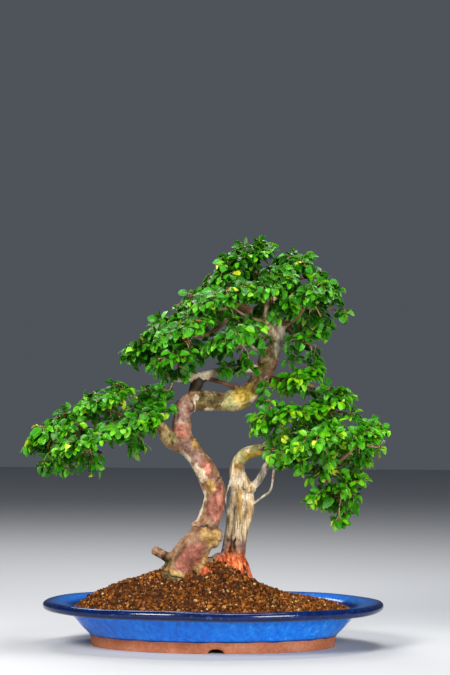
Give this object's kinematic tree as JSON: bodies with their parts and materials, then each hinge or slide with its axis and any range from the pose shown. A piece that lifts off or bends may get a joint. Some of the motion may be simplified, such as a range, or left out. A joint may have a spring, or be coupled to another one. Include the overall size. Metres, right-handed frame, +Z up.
{
  "type": "chinese elm bonsai in a pot",
  "caption": "Chinese elm bonsai with a sinuous trunk, a second trunk of fused strands and leafy sprays, in an oval blue glazed pot filled with soil.",
  "frame": {"origin": "on the ground, under the middle of the bounding box", "axes": "+Z up; +X to the right of the front view, along the oval pot's length; +Y away from the front. The pot's foot stands on Z = 0."},
  "size_m": [0.475, 0.332, 0.5296],
  "materials": {
    "glaze": "gloss",
    "soil": "matte",
    "bark": "matte",
    "leaf": "satin"
  },
  "bodies": {
    "root": {"pot": "glaze", "soil": "soil", "spray_01": "leaf", "spray_02": "leaf", "spray_03": "leaf", "spray_04": "leaf", "spray_05": "leaf", "spray_06": "leaf", "spray_07": "leaf", "spray_08": "leaf", "spray_09": "leaf", "spray_10": "leaf", "spray_11": "leaf", "spray_12": "leaf", "spray_13": "leaf", "spray_14": "leaf", "spray_15": "leaf", "spray_16": "leaf", "spray_17": "leaf", "spray_18": "leaf", "spray_19": "leaf", "spray_20": "leaf", "spray_21": "leaf", "spray_22": "leaf", "spray_23": "leaf", "spray_24": "leaf", "spray_25": "leaf", "spray_26": "leaf", "spray_27": "leaf", "spray_28": "leaf", "spray_29": "leaf", "spray_30": "leaf", "spray_31": "leaf", "spray_32": "leaf", "spray_33": "leaf", "wood": "bark"}
  },
  "joints": []
}
